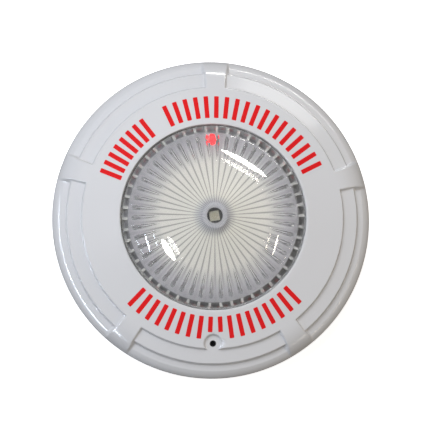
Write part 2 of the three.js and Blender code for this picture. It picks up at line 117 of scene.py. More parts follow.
def mouldedPlastic(
    name, color, roughness, grain=plastic["grain"], grainDepth=plastic["grainDepth"],
    mottle=plastic["mottle"], coat=0.0, specular=0.5,
):
    material, nodes, links, shader = newMaterial(name)
    cloud = addNoise(nodes, links, plastic["cloudScale"], 4.0)
    dark = [c * (1 - mottle) for c in color]
    light = [min(1, c * (1 + mottle)) for c in color]
    addTint(nodes, links, cloud.outputs["Fac"], dark, light, shader.inputs["Base Color"])
    fine = addNoise(nodes, links, grain, 2.0)
    smoothest = roughness * (1 - plastic["roughSpread"])
    roughest = roughness * (1 + plastic["roughSpread"])
    rough = addRamp(nodes, links, cloud.outputs["Fac"], smoothest, roughest)
    links.new(rough.outputs["Result"], shader.inputs["Roughness"])
    bump = addBump(nodes, links, fine.outputs["Fac"], grainDepth)
    links.new(bump.outputs["Normal"], shader.inputs["Normal"])
    shader.inputs["Coat Weight"].default_value = coat
    shader.inputs["Coat Roughness"].default_value = plastic["coatRoughness"]
    shader.inputs["Specular IOR Level"].default_value = specular
    return material


metal = {"stainScale": 120.0, "stain": 0.82, "roughSpread": 0.3, "grooveDepth": 0.000008}


def brushedMetal(name, color, roughness, stretch=(1, 1, 30), scale=400.0):
    material, nodes, links, shader = newMaterial(name)
    lines = addNoise(nodes, links, scale, 2.0, stretch)
    stain = addNoise(nodes, links, metal["stainScale"], 3.0)
    stained = [c * metal["stain"] for c in color]
    addTint(nodes, links, stain.outputs["Fac"], stained, color, shader.inputs["Base Color"])
    smoothest = roughness * (1 - metal["roughSpread"])
    roughest = roughness * (1 + metal["roughSpread"])
    rough = addRamp(nodes, links, lines.outputs["Fac"], smoothest, roughest)
    links.new(rough.outputs["Result"], shader.inputs["Roughness"])
    bump = addBump(nodes, links, lines.outputs["Fac"], metal["grooveDepth"])
    links.new(bump.outputs["Normal"], shader.inputs["Normal"])
    shader.inputs["Metallic"].default_value = 1.0
    return material


clear = {"flowScale": 60.0, "roughSpread": 0.012, "rippleDepth": 0.0000008}


def clearPlastic(name, color, ior, roughness=0.0, haze=0.0):
    material, nodes, links, shader = newMaterial(name)
    shader.inputs["Base Color"].default_value = (*color, 1)
    shader.inputs["Transmission Weight"].default_value = 1.0 - haze
    shader.inputs["IOR"].default_value = ior
    flow = addNoise(nodes, links, clear["flowScale"], 3.0)
    rough = addRamp(nodes, links, flow.outputs["Fac"], roughness, roughness + clear["roughSpread"])
    ripple = addBump(nodes, links, flow.outputs["Fac"], clear["rippleDepth"])
    links.new(rough.outputs["Result"], shader.inputs["Roughness"])
    links.new(ripple.outputs["Normal"], shader.inputs["Normal"])
    return material


def finishPiece(name, bm, material, body, replaced=(), sharpAngle=35):
    mesh = bpy.data.meshes.new(name)
    bm.to_mesh(mesh)
    bm.free()
    piece = bpy.data.objects.new(name, mesh)
    bpy.context.scene.collection.objects.link(piece)
    mesh.materials.append(material)
    mesh.shade_smooth()
    mesh.set_sharp_from_angle(angle=math.radians(sharpAngle))
    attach(piece, body)
    if replaced:
        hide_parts(*replaced)
    return piece


def closeShell(bm):
    bmesh.ops.remove_doubles(bm, verts=bm.verts, dist=1e-7)
    bmesh.ops.recalc_face_normals(bm, faces=bm.faces)


def addOutline(bm, profile, degrees=0.0):
    # a closed outline of (radius, height) in mm, standing at an angle round Z
    verts = [bm.verts.new(onCircle(r * mm, degrees, z * mm)) for r, z in profile]
    edges = [bm.edges.new((verts[i - 1], verts[i])) for i in range(len(verts))]
    return verts + edges


def turn(bm, geometry, degrees, steps, copies=False, merge=False):
    turned = bmesh.ops.spin(
        bm, geom=geometry, axis=(0, 0, 1), cent=(0, 0, 0), dvec=(0, 0, 0), angle=math.radians(degrees),
        steps=steps, use_duplicate=copies, use_merge=merge,
    )
    return turned["geom_last"]


def spinRound(profile, steps):
    bm = bmesh.new()
    turn(bm, addOutline(bm, profile), 360, steps, merge=True)
    closeShell(bm)
    return bm


def spinSegments(profile, spans, start, copies):
    # one segment turned through spans of (degrees, steps), then copied round the full circle
    bm = bmesh.new()
    geometry = addOutline(bm, profile, start)
    for degrees, steps in spans:
        geometry = turn(bm, geometry, degrees, steps)
    everything = bm.verts[:] + bm.edges[:] + bm.faces[:]
    pitch = sum(degrees for degrees, steps in spans)
    turn(bm, everything, pitch * (copies - 1), copies - 1, copies=True)
    closeShell(bm)
    return bm


def addBlock(bm, profile, start, degrees, steps):
    # a solid sector: a capped outline turned part of the way round
    outline = addOutline(bm, profile, start)
    cap = bm.faces.new([v for v in outline if isinstance(v, bmesh.types.BMVert)])
    turn(bm, outline + [cap], degrees, steps)
    bmesh.ops.recalc_face_normals(bm, faces=bm.faces)


def addBox(bm, size, place):
    made = bmesh.ops.create_cube(bm, size=1.0)
    bmesh.ops.scale(bm, verts=made["verts"], vec=size)
    bmesh.ops.translate(bm, verts=made["verts"], vec=place)
    return made["verts"]


def addRod(bm, radius, bottom, top, place=(0, 0), sides=48):
    made = bmesh.ops.create_cone(
        bm, cap_ends=True, segments=sides, radius1=radius, radius2=radius, depth=top - bottom,
    )
    bmesh.ops.translate(bm, verts=made["verts"], vec=(*place, (top + bottom) / 2))
    return made["verts"]


def addSlot(bm, width, length, place, degrees, bottom, top):
    # a slot with round ends, its length pointing at degrees
    made = bmesh.ops.create_circle(bm, cap_ends=True, segments=40, radius=width / 2)
    for vert in made["verts"]:
        vert.co.x += math.copysign((length - width) / 2, vert.co.x)
    spinning = Matrix.Rotation(math.radians(degrees), 3, "Z")
    bmesh.ops.rotate(bm, verts=made["verts"], cent=(0, 0, 0), matrix=spinning)
    bmesh.ops.translate(bm, verts=made["verts"], vec=(*place, bottom))
    floor = made["verts"][0].link_faces[:]
    raised = bmesh.ops.extrude_face_region(bm, geom=floor, use_keep_orig=True)["geom"]
    lifted = [v for v in raised if isinstance(v, bmesh.types.BMVert)]
    bmesh.ops.translate(bm, verts=lifted, vec=(0, 0, top - bottom))
    bmesh.ops.recalc_face_normals(bm, faces=bm.faces)


def joinOrCut(piece, tool, operation, sharpAngle=35):
    mesh = bpy.data.meshes.new("tool")
    tool.to_mesh(mesh)
    tool.free()
    other = bpy.data.objects.new("tool", mesh)
    bpy.context.scene.collection.objects.link(other)
    modifier = piece.modifiers.new("joinOrCut", "BOOLEAN")
    modifier.operation = operation
    modifier.object = other
    modifier.solver = "EXACT"
    bpy.context.view_layer.update()
    ready = piece.evaluated_get(bpy.context.evaluated_depsgraph_get())
    result = bpy.data.meshes.new_from_object(ready)
    piece.modifiers.clear()
    piece.data = result
    bpy.data.objects.remove(other)
    result.shade_smooth()
    result.set_sharp_from_angle(angle=math.radians(sharpAngle))


view = {
    "tilt": 6.8,            # degrees off the beacon's own axis
    "azimuth": 230.0,       # the side the camera leans to, from +X
    "distance": 0.78,
    "fieldWidth": 0.1556,   # what the frame takes in at the rim's height
    "aimRight": 0.0013,     # the frame's middle, off the rim's centre
    "aimUp": 0.0016,
    "rimHeight": 0.017,
    "sensor": 36.0,
}


def makeCamera():
    tilt = math.radians(view["tilt"])
    around = math.radians(view["azimuth"])
    away = Vector((math.sin(tilt) * math.cos(around), math.sin(tilt) * math.sin(around), math.cos(tilt)))
    up = (Vector((0, 1, 0)) - away * away.y).normalized()
    right = up.cross(away)
    aim = Vector((0, 0, view["rimHeight"])) + right * view["aimRight"] + up * view["aimUp"]
    data = bpy.data.cameras.new("camera")
    data.sensor_width = view["sensor"]
    data.lens = view["sensor"] * view["distance"] / view["fieldWidth"]
    data.clip_start = 0.01
    camera = bpy.data.objects.new("camera", data)
    camera.matrix_world = Matrix((
        (right.x, up.x, away.x, 0), (right.y, up.y, away.y, 0), (right.z, up.z, away.z, 0), (0, 0, 0, 1),
    ))
    camera.location = aim + away * view["distance"]
    bpy.context.scene.collection.objects.link(camera)
    bpy.context.scene.camera = camera


makeCamera()


studio = {
    "world": (0.93, 0.915, 0.905),
    "worldStrength": 0.25,
    # tilt and azimuth in degrees, distance, (length, width), colour, watts per square metre
    "softLamps": {
        "key": (28, 132, 1.1, (0.8, 0.7), (0.925, 0.95, 1.0), 18.0),
        "softLeft": (62, 190, 1.2, (0.7, 0.5), (0.60, 0.76, 1.0), 5.0),
        "softRight": (60, 350, 1.2, (0.6, 0.5), (1.0, 0.74, 0.38), 6.0),
    },
    # long low strips that only draw a line of light along the shell's edges
    "edgeLamps": {
        "edgeTop": (68, 62, 0.9, (0.9, 0.05), (1.0, 0.99, 0.95), 120),
        "edgeLeft": (66, 200, 0.9, (1.1, 0.05), (0.78, 0.87, 1.0), 170),
        "edgeRight": (74, 330, 0.9, (0.7, 0.04), (1.0, 0.90, 0.76), 20),
    },
    # reach the shell's terraces only
    "terraceLamps": {
        "terraceTop": (40, 60, 0.8, (0.36, 0.06), (1.0, 0.99, 0.96), 11),
    },
    # reach the clear dome only, as the sharp arcs on it
    "domeLamps": {
        "domeUpperRight": (37, 59, 0.8, (0.34, 0.036), (1.0, 0.99, 0.96), 110),
        "domeLowerLeft": (23, 213, 0.8, (0.17, 0.044), (1.0, 1.0, 1.0), 110),
        "domeLeft": (31, 197, 0.8, (0.12, 0.014), (0.80, 0.88, 1.0), 60),
        "domeRight": (36, 345, 0.8, (0.14, 0.012), (1.0, 0.92, 0.80), 60),
    },
}


def makeLamp(name, tilt, azimuth, distance, size, color, brightness, receivers=None):
    data = bpy.data.lights.new(name, "AREA")
    data.shape = "ELLIPSE" if receivers else "RECTANGLE"
    data.size, data.size_y = size
    data.color = color
    data.energy = brightness * size[0] * size[1]
    lamp = bpy.data.objects.new(name, data)
    direction = onCircle(math.sin(math.radians(tilt)), azimuth, math.cos(math.radians(tilt)))
    lamp.location = direction * distance + Vector((0, 0, view["rimHeight"]))
    along = onCircle(1.0, azimuth + 90)
    across = direction.cross(along)
    lamp.matrix_world = Matrix((
        (along.x, across.x, direction.x, lamp.location.x),
        (along.y, across.y, direction.y, lamp.location.y),
        (along.z, across.z, direction.z, lamp.location.z),
        (0, 0, 0, 1),
    ))
    bpy.context.scene.collection.objects.link(lamp)
    if receivers:
        lamp.light_linking.receiver_collection = receivers
    return lamp


def makeLamps():
    for name, settings in studio["softLamps"].items():
        lamp = makeLamp(name, *settings)
        lamp.visible_glossy = False          # they light the surfaces without showing in them
        lamp.visible_transmission = False


def makeLinkedLamps(group, *pieces, diffuse=True):
    receivers = bpy.data.collections.new(group)
    for piece in pieces:
        receivers.objects.link(piece)
    for name, settings in studio[group].items():
        makeLamp(name, *settings, receivers).visible_diffuse = diffuse


makeLamps()
world = bpy.data.worlds.new("studio")
bpy.context.scene.world = world
world.use_nodes = True
world.node_tree.nodes["Background"].inputs["Color"].default_value = (*studio["world"], 1)
world.node_tree.nodes["Background"].inputs["Strength"].default_value = studio["worldStrength"]
bpy.context.scene.view_settings.view_transform = "Standard"


ground = {
    "size": 3.0, "drop": 0.0002, "tone": 0.97, "roughness": 0.9, "specular": 0.1,
    "glow": 0.75,   # keeps the shadows light
}


def makeFloor():
    bm = bmesh.new()
    bmesh.ops.create_grid(bm, x_segments=1, y_segments=1, size=ground["size"])
    bmesh.ops.translate(bm, verts=bm.verts, vec=(0, 0, -ground["drop"]))
    mesh = bpy.data.meshes.new("floor")
    bm.to_mesh(mesh)
    bm.free()
    material, nodes, links, shader = newMaterial("paleFloor")
    shader.inputs["Base Color"].default_value = (*[ground["tone"]] * 3, 1)
    shader.inputs["Roughness"].default_value = ground["roughness"]
    shader.inputs["Specular IOR Level"].default_value = ground["specular"]
    shader.inputs["Emission Color"].default_value = (1, 1, 1, 1)
    shader.inputs["Emission Strength"].default_value = ground["glow"]
    mesh.materials.append(material)
    floor = bpy.data.objects.new("floor", mesh)
    bpy.context.scene.collection.objects.link(floor)
    floor.visible_diffuse = False   # a plain ground that throws no light back at the rim
    floor.visible_glossy = False


makeFloor()
print("stage: camera, lights and floor")


cover = {
    "sharp": 60, "besideOpening": 0.3, "besideRim": 0.001, "onTop": 0.002,
    "opening": 33.3, "faceTop": 28.0, "faceSlope": 0.2,
    "rim": 57.5, "rimHeight": 17.0, "rollStart": 46.6,
    "stepOne": 47.1, "stepOneWidth": 0.7, "terraceOne": 23.85, "terraceOneFall": 0.24,
    "stepTwo": 52.45, "stepTwoWidth": 0.8, "terraceTwo": 20.95, "terraceTwoFall": 0.30,
    "crest": 54.8, "crestFillet": 0.5, "rimFall": 0.58,
    "segments": 5, "firstBridge": 88.9, "bridge": 7.8, "endWall": 0.75,
    "flare": 0.9, "flareWall": 1.3,
    "bayRadius": 3.1, "bayCentre": 45.1, "bayAngle": 270.0,
    "screwHole": 1.15, "screwHoleSpan": (10.0, 25.5),
    "rollPowers": (2.4, 0.6), "cornerFillet": 0.3,
    "bridgeSpan": (14.0, 56), "baySpan": (10.0, 40), "plainSteps": 18,   # degrees and steps
    # radii where the rings of the top get closer or wider, and the steps from each to the next
    "rings": [(33.65, 8), (41.6, 20), (46.6, 14), (47.6, 8), (51.9, 14), (53.0, 4), (54.2, 10), (55.4, 8)],
    "lastRings": [57.0, 57.15, 57.27, 57.37, 57.45, 57.485],
    # (past the opening, below the face) along the rounded lip
    "lip": [(0.02, 0.45), (0.1, 0.22), (0.2, 0.1)],
    # (radius, height) down the skirt's outside, then up its inside
    "skirt": [
        (57.46, 16.6), (57.36, 16.2), (57.15, 15.5), (56.6, 13.0), (55.5, 8.0), (54.7, 4.0),
        (54.52, 3.25), (54.4, 3.05), (54.2, 3.0), (52.9, 3.0), (52.7, 3.05), (52.6, 3.3),
    ],
    "inside": [
        (53.4, 8.0), (54.6, 15.5), (54.6, 16.8), (53.3, 18.9), (51.8, 20.4), (46.1, 22.2), (33.3, 25.8),
    ],
}


def faceHeight(r):
    return cover["faceTop"] - cover["faceSlope"] * (r - cover["opening"])


def bridgeHeight(r):
    t = min(1.0, max(0.0, (r - cover["rollStart"]) / (cover["rim"] - cover["rollStart"])))
    total = faceHeight(cover["rim"]) - cover["rimHeight"]
    start, end = cover["rollPowers"]
    return faceHeight(r) - total * (1 - (1 - t ** start) ** end)


def wallShare(middle, width, value):
    # from 0 to 1 across a straight wall whose two corners are rounded
    t = min(1.0, max(0.0, (value - middle) / width + 0.5))
    fillet = cover["cornerFillet"]
    bend = 2 * fillet * (1 - fillet)
    if t < fillet:
        return t * t / bend
    if t > 1 - fillet:
        return 1 - (1 - t) ** 2 / bend
    return (t - fillet / 2) / (1 - fillet)


def terraceOneHeight(r):
    return cover["terraceOne"] - cover["terraceOneFall"] * (r - cover["stepOne"])


def terraceTwoHeight(r):
    shelf = cover["terraceTwo"] - cover["terraceTwoFall"] * (r - cover["stepTwo"])
    if r < cover["crest"] - cover["crestFillet"]:
        return shelf
    crestHeight = cover["terraceTwo"] - cover["terraceTwoFall"] * (cover["crest"] - cover["stepTwo"])
    t = min(1.0, max(0.0, (r - cover["crest"]) / (cover["rim"] - cover["crest"])))
    drop = crestHeight - cover["rimHeight"] - cover["rimFall"] * (cover["rim"] - cover["crest"])
    slope = crestHeight - cover["rimFall"] * (r - cover["crest"]) - drop * (1 - math.sqrt(1 - t * t))
    return mix(shelf, slope, smoothStep(-cover["crestFillet"], cover["crestFillet"], r - cover["crest"]))


def angleFromBridge(degrees):
    pitch = 360 / cover["segments"]
    turned = (degrees - cover["firstBridge"]) % pitch
    return min(turned, pitch - turned)


def coverHeight(r, degrees, x, y):
    high = bridgeHeight(r)
    pastBridge = math.radians(angleFromBridge(degrees) - cover["bridge"] / 2) * r
    inOne = wallShare(cover["endWall"] / 2, cover["endWall"], pastBridge)
    inTwo = wallShare(cover["flare"], cover["flareWall"], pastBridge)
    dropOne = wallShare(cover["stepOne"], cover["stepOneWidth"], r)
    dropTwo = wallShare(cover["stepTwo"], cover["stepTwoWidth"], r)
    fromScrew = math.hypot(x, y + cover["bayCentre"])
    inBay = 1 - wallShare(cover["bayRadius"], cover["stepOneWidth"], fromScrew)
    first = mix(high, min(high, terraceOneHeight(r)), max(dropOne * inOne, inBay))
    return mix(first, min(first, terraceTwoHeight(r)), dropTwo * inTwo)


def spread(start, end, count):
    return [mix(start, end, i / count) for i in range(count)]


def coverProfile():
    radii = []
    ends = [radius for radius, steps in cover["rings"][1:]] + cover["lastRings"][:1]
    for (radius, steps), end in zip(cover["rings"], ends):
        radii += spread(radius, end, steps)
    radii += cover["lastRings"] + [cover["rim"]]
    lip = [(cover["opening"] + past, cover["faceTop"] - below) for past, below in cover["lip"]]
    return lip + [(r, bridgeHeight(r)) for r in radii] + cover["skirt"] + cover["inside"]


def makeCover(material):
    pitch = 360 / cover["segments"]
    plain = ((pitch - cover["bridgeSpan"][0] - cover["baySpan"][0]) / 2, cover["plainSteps"])
    spans = [cover["bridgeSpan"], plain, cover["baySpan"], plain]
    start = cover["firstBridge"] - cover["bridgeSpan"][0] / 2
    bm = spinSegments(coverProfile(), spans, start, cover["segments"])
    for vert in bm.verts:
        r = math.hypot(vert.co.x, vert.co.y) / mm
        outside = r > cover["opening"] + cover["besideOpening"] and r < cover["rim"] - cover["besideRim"]
        if outside and abs(vert.co.z / mm - bridgeHeight(r)) < cover["onTop"]:
            degrees = math.degrees(math.atan2(vert.co.y, vert.co.x))
            vert.co.z = coverHeight(r, degrees, vert.co.x / mm, vert.co.y / mm) * mm
    piece = finishPiece("coverShell", bm, material, "head", ["cover"], cover["sharp"])
    cutter = bmesh.new()
    low, high = cover["screwHoleSpan"]
    addRod(cutter, cover["screwHole"] * mm, low * mm, high * mm, (0, -cover["bayCentre"] * mm), 64)
    joinOrCut(piece, cutter, "DIFFERENCE", cover["sharp"])
    return piece


shellMaterial = mouldedPlastic(
    "glossWhiteShell", (0.67, 0.67, 0.68), 0.17, grain=700.0, grainDepth=0.000003, mottle=0.012, coat=0.4,
)
coverPiece = makeCover(shellMaterial)
makeLinkedLamps("terraceLamps", coverPiece)
makeLinkedLamps("edgeLamps", coverPiece, diffuse=False)
print("stage: cover")


lens = {
    "radius": 33.0, "apex": 37.5, "wall": 2.0, "sideWall": 0.6, "faceTop": 28.0,
    "flange": 37.0, "flangeTop": 23.4, "flangeBottom": 22.0,
    # corners of the shoulder between the side and the dome, (radius, height), and their fillets
    "sideBend": 25.5, "shoulder": (30.9, 30.6), "shoulderTop": (30.6, 31.4), "outerFillets": (0.5, 1.1),
    "innerShoulder": (29.6, 29.8), "innerSide": 27.5, "innerFillets": (0.8, 0.5),
    "crown": (30.2, 32.2), "crownInset": 1.6, "arcSteps": (26, 30),
    # ribs under the dome: degrees and steps of each, widths and depths in mm from the middle outwards
    "ribs": 50, "gapAngle": 91.3, "ribSpan": (2.2, 12), "gapSteps": 3,
    "ribHalfWidth": (0.22, 0.5), "ribTaper": (19.0, 28.0), "ribDepth": (0.3, 0.5),
    "ribStart": (19.5, 23.0), "ribEnd": (27.9, 28.4), "ribSide": (0.5, 1.1), "ribShareOfPitch": 0.25,
}


def domeArc(startRadius, startHeight, topHeight, count):
    rise = topHeight - startHeight
    bend = (startRadius ** 2 + rise ** 2) / (2 * rise)
    radii = [startRadius * (1 - i / count) for i in range(count + 1)]
    return [(r, topHeight - bend + math.sqrt(bend ** 2 - r ** 2)) for r in radii]


def filletCorner(before, corner, after, size, count=6):
    # a round corner as a quadratic curve between points at a distance from the corner
    corner, before, after = Vector(corner), Vector(before), Vector(after)
    start = corner + (before - corner).normalized() * size
    end = corner + (after - corner).normalized() * size
    points = []
    for i in range(count + 1):
        t = i / count
        points.append(tuple((1 - t) ** 2 * start + 2 * t * (1 - t) * corner + t ** 2 * end))
    return points


def lensOuter():
    dome = domeArc(*lens["crown"], lens["apex"], lens["arcSteps"][0])
    radius = lens["radius"]
    side, base = (radius, lens["sideBend"]), (radius, lens["faceTop"])
    low, high = lens["outerFillets"]
    flange = [(lens["flange"], lens["flangeBottom"]), (lens["flange"], lens["flangeTop"])]
    return (
        flange + [(radius, lens["flangeTop"]), side]
        + filletCorner(side, base, lens["shoulder"], low, 4)
        + filletCorner(base, lens["shoulderTop"], dome[1], high, 8)
        + dome[2:]
    )


def innerDome():
    radius, height = lens["crown"]
    top = lens["apex"] - lens["wall"]
    return domeArc(radius - lens["crownInset"], height - lens["wall"], top, lens["arcSteps"][1])


def lensInner():
    dome = innerDome()
    wall = lens["radius"] - lens["sideWall"]
    shoulder, side, foot = lens["innerShoulder"], (wall, lens["innerSide"]), (wall, lens["flangeBottom"])
    high, low = lens["innerFillets"]
    return (
        list(reversed(dome[1:]))
        + filletCorner(dome[1], shoulder, side, high, 5)
        + filletCorner(shoulder, side, foot, low, 5)
        + [foot]
    )


def ribShare(halfWidth, across):
    inner, outer = lens["ribSide"]
    return 1 - smoothStep(halfWidth * inner, halfWidth * outer, across)


def makeLens(material):
    pitch = 360 / lens["ribs"]
    ribAngle = lens["gapAngle"] + pitch / 2
    gap = (pitch - lens["ribSpan"][0]) / 2
    spans = [(gap, lens["gapSteps"]), lens["ribSpan"], (gap, lens["gapSteps"])]
    bm = spinSegments(lensOuter() + lensInner(), spans, lens["gapAngle"], lens["ribs"])
    dome = innerDome()
    crown, crownHeight = dome[0]
    apex = dome[-1][1]
    bend = (crown ** 2 + (apex - crownHeight) ** 2) / (2 * (apex - crownHeight))
    for vert in bm.verts:
        r = math.hypot(vert.co.x, vert.co.y) / mm
        z = vert.co.z / mm
        if r < 0.01:
            continue
        degrees = math.degrees(math.atan2(vert.co.y, vert.co.x))
        offset = abs((degrees - ribAngle + pitch / 2) % pitch - pitch / 2)
        across = math.radians(offset) * r
        onDome = r < crown + 0.3 and abs(z - (apex - bend + math.sqrt(bend ** 2 - r ** 2))) < 0.02
        if onDome:
            start = smoothStep(*lens["ribStart"], r)
            fade = start * (1 - smoothStep(*lens["ribEnd"], r))
            taper = smoothStep(*lens["ribTaper"], r)
            widest = math.radians(pitch) * r * lens["ribShareOfPitch"]
            half = min(mix(*lens["ribHalfWidth"], taper), widest)
            depth = mix(*lens["ribDepth"], min(1.0, r / lens["ribEnd"][0]))
            vert.co.z -= depth * ribShare(half, across) * fade * mm
    return finishPiece("domeLens", bm, material, "head", ["lens"], 50)


lensMaterial = clearPlastic("clearPolycarbonate", (0.985, 0.985, 0.975), 1.55, haze=0.01)
lensPiece = makeLens(lensMaterial)
lensPiece.visible_shadow = False   # lamps light the dish through the clear dome
makeLinkedLamps("domeLamps", lensPiece)
print("stage: lens")


dish = {
    "steps": 240, "sharp": 50,
    # (radius, height) from the foot round the flange, up the dish and its collar, and back below
    "profile": [
        (28.6, 20.7), (42.0, 20.7), (42.0, 21.7), (29.8, 21.7), (29.6, 21.9), (29.6, 26.1), (29.5, 26.3),
        (29.3, 26.35), (26.0, 26.7), (20.0, 27.6), (15.0, 28.6), (11.0, 29.55), (8.5, 30.25), (7.0, 30.8),
        (6.0, 31.5), (5.3, 32.3), (4.8, 33.0), (4.5, 33.3), (4.2, 33.4), (3.0, 33.4), (2.86, 33.36),
        (2.8, 33.2), (2.8, 32.4), (4.1, 31.6), (5.4, 30.5), (6.6, 29.4), (15.0, 27.5), (26.0, 25.6),
        (28.4, 25.3), (28.6, 25.1),
    ],
    "statusHole": 1.75, "statusHoleSpan": (24.0, 31.0),
    # fins across the gap between the dish and the lens wall
    "finWidth": 1.0, "finSpan": (29.3, 31.9), "finHeights": (21.3, 26.2), "finChamfer": 0.5,
    # painted shade of the lens ribs seen through the dome: thin lines between the ribs, and dark wedges at
    # them near the edge: widths as shares of a rib pitch
    "lineSpan": (0.30, 0.46), "lineFade": (19.0, 27.0), "lineFadedTo": 0.25, "lineShade": 0.62,
    "wedgeSpan": (19.5, 28.0), "wedgeWidth": 0.17, "wedgeSharpness": 14.0, "wedgeEnd": (27.9, 28.5),
    "wedgeShade": 0.8, "shadeColor": (0.055, 0.055, 0.065, 1),
    "grain": 500.0, "grainDepth": 0.000006, "roughness": (0.28, 0.4),
    # share of the way to this radius, and the tone there: the dish's own cream in the middle, with painted
    # shade at the collar, towards the edge and in the gap past the edge
    "toneAndShadeRadius": 30.1,
    "tonesAndPaintedShade": [
        (0.0, (0.38, 0.385, 0.41, 1)), (0.16, (0.38, 0.385, 0.41, 1)), (0.26, (0.57, 0.56, 0.51, 1)),
        (0.62, (0.56, 0.55, 0.515, 1)), (0.86, (0.36, 0.355, 0.38, 1)), (0.98, (0.27, 0.27, 0.29, 1)),
        (1.0, (0.38, 0.38, 0.385, 1)),
    ],
}


def makeReflector(material):
    bm = spinRound(dish["profile"], dish["steps"])
    piece = finishPiece("whiteReflector", bm, material, "head", ["reflector"], dish["sharp"])
    cutter = bmesh.new()
    low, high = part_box("status_led")
    centre = (low + high) / 2
    bottom, top = dish["statusHoleSpan"]
    addRod(cutter, dish["statusHole"] * mm, bottom * mm, top * mm, (centre.x, centre.y), 48)
    joinOrCut(piece, cutter, "DIFFERENCE", dish["sharp"])
    return piece


def makeFins(material):
    bm = bmesh.new()
    (near, far), (low, high) = dish["finSpan"], dish["finHeights"]
    pitch = 360 / lens["ribs"]
    width = math.degrees(dish["finWidth"] / far)
    chamfer = dish["finChamfer"]
    fin = [(near, low), (far, low), (far, high - chamfer), (far - chamfer, high), (near, high)]
    addBlock(bm, fin, lens["gapAngle"] + pitch / 2 - width / 2, width, 2)
    turn(bm, bm.verts[:] + bm.edges[:] + bm.faces[:], 360 - pitch, lens["ribs"] - 1, copies=True)
    return finishPiece("dishFins", bm, material, "head", (), 50)


def mathNode(nodes, links, operation, *values, clamp=False):
    node = nodes.new("ShaderNodeMath")
    node.operation = operation
    node.use_clamp = clamp
    for socket, value in zip(node.inputs, values):
        if isinstance(value, (int, float)):
            socket.default_value = value
        else:
            links.new(value, socket)
    return node.outputs["Value"]


def multiply(nodes, links, *values):
    product = values[0]
    for value in values[1:]:
        product = mathNode(nodes, links, "MULTIPLY", product, value)
    return product


def rampAlong(nodes, links, distance, low, high, radii):
    start, end = radii
    return addRamp(nodes, links, distance, low, high, start * mm, end * mm).outputs["Result"]


def addPaintedRibShade(nodes, links, place, distance):
    # how far a point is into the painted shade of the lens ribs: thin lines between the ribs, and wedges
    # near the edge
    parts = nodes.new("ShaderNodeSeparateXYZ")
    links.new(place, parts.inputs["Vector"])
    angle = mathNode(nodes, links, "ARCTAN2", parts.outputs["Y"], parts.outputs["X"])
    turns = mathNode(nodes, links, "MULTIPLY", angle, lens["ribs"] / (2 * math.pi))
    moved = mathNode(nodes, links, "SUBTRACT", turns, lens["gapAngle"] * lens["ribs"] / 360)
    share = mathNode(nodes, links, "FRACT", moved)
    fromRib = mathNode(nodes, links, "ABSOLUTE", mathNode(nodes, links, "SUBTRACT", share, 0.5))
    line = addRamp(nodes, links, fromRib, 0.0, 1.0, *dish["lineSpan"]).outputs["Result"]
    fade = rampAlong(nodes, links, distance, 1.0, dish["lineFadedTo"], dish["lineFade"])
    lines = multiply(nodes, links, line, fade, dish["lineShade"])
    width = rampAlong(nodes, links, distance, 0.0, dish["wedgeWidth"], dish["wedgeSpan"])
    into = mathNode(nodes, links, "SUBTRACT", width, fromRib)
    wedge = mathNode(nodes, links, "MULTIPLY", into, dish["wedgeSharpness"], clamp=True)
    end = rampAlong(nodes, links, distance, 1.0, 0.0, dish["wedgeEnd"])
    wedges = multiply(nodes, links, wedge, end, dish["wedgeShade"])
    return mathNode(nodes, links, "MAXIMUM", lines, wedges)


def dishPlasticWithPaintedShade(name):
    # white plastic with painted shade: darker at the collar, towards the edge and in the gap past it
    material, nodes, links, shader = newMaterial(name)
    coordinates = nodes.new("ShaderNodeTexCoord")
    flat = nodes.new("ShaderNodeVectorMath")
    flat.operation = "MULTIPLY"
    flat.inputs[1].default_value = (1, 1, 0)
    distance = nodes.new("ShaderNodeVectorMath")
    distance.operation = "LENGTH"
    links.new(coordinates.outputs["Object"], flat.inputs[0])
    links.new(flat.outputs["Vector"], distance.inputs[0])
    # painted shade: the tone ramp darkens the collar and the edge of the cream dish
    share = rampAlong(nodes, links, distance.outputs["Value"], 0.0, 1.0, (0.0, dish["toneAndShadeRadius"]))
    tonesAndPaintedShade = nodes.new("ShaderNodeValToRGB")
    ramp = tonesAndPaintedShade.color_ramp
    ramp.elements[0].position, ramp.elements[0].color = dish["tonesAndPaintedShade"][0]
    ramp.elements[1].position, ramp.elements[1].color = dish["tonesAndPaintedShade"][-1]
    for place, color in dish["tonesAndPaintedShade"][1:-1]:
        ramp.elements.new(place).color = color
    links.new(share, tonesAndPaintedShade.inputs["Fac"])
    # painted shade of the lens ribs: dark lines and wedges mixed over the tone ramp
    shade = nodes.new("ShaderNodeMix")
    shade.data_type = "RGBA"
    shade.inputs["B"].default_value = dish["shadeColor"]
    paintedRibShade = addPaintedRibShade(nodes, links, coordinates.outputs["Object"], distance.outputs["Value"])
    links.new(paintedRibShade, shade.inputs["Factor"])
    links.new(tonesAndPaintedShade.outputs["Color"], shade.inputs["A"])
    links.new(shade.outputs["Result"], shader.inputs["Base Color"])
    fine = addNoise(nodes, links, dish["grain"], 2.0)
    rough = addRamp(nodes, links, fine.outputs["Fac"], *dish["roughness"])
    bump = addBump(nodes, links, fine.outputs["Fac"], dish["grainDepth"])
    links.new(rough.outputs["Result"], shader.inputs["Roughness"])
    links.new(bump.outputs["Normal"], shader.inputs["Normal"])
    return material


makeReflector(dishPlasticWithPaintedShade("whiteDishWithPaintedShade"))
makeFins(mouldedPlastic("finPlastic", (0.36, 0.36, 0.355), 0.45, grain=800.0, mottle=0.05))


statusLight = {
    "radius": 1.5, "flange": 1.9, "flangeHeight": 1.0, "edge": 0.1, "bendStep": 9, "steps": 48,
    "dark": (0.95, 0.015, 0.02), "bright": (1.0, 0.03, 0.035), "body": (0.8, 0.03, 0.04, 1),
    "cloudScale": 800.0, "roughness": 0.12, "glow": 1.8,
}


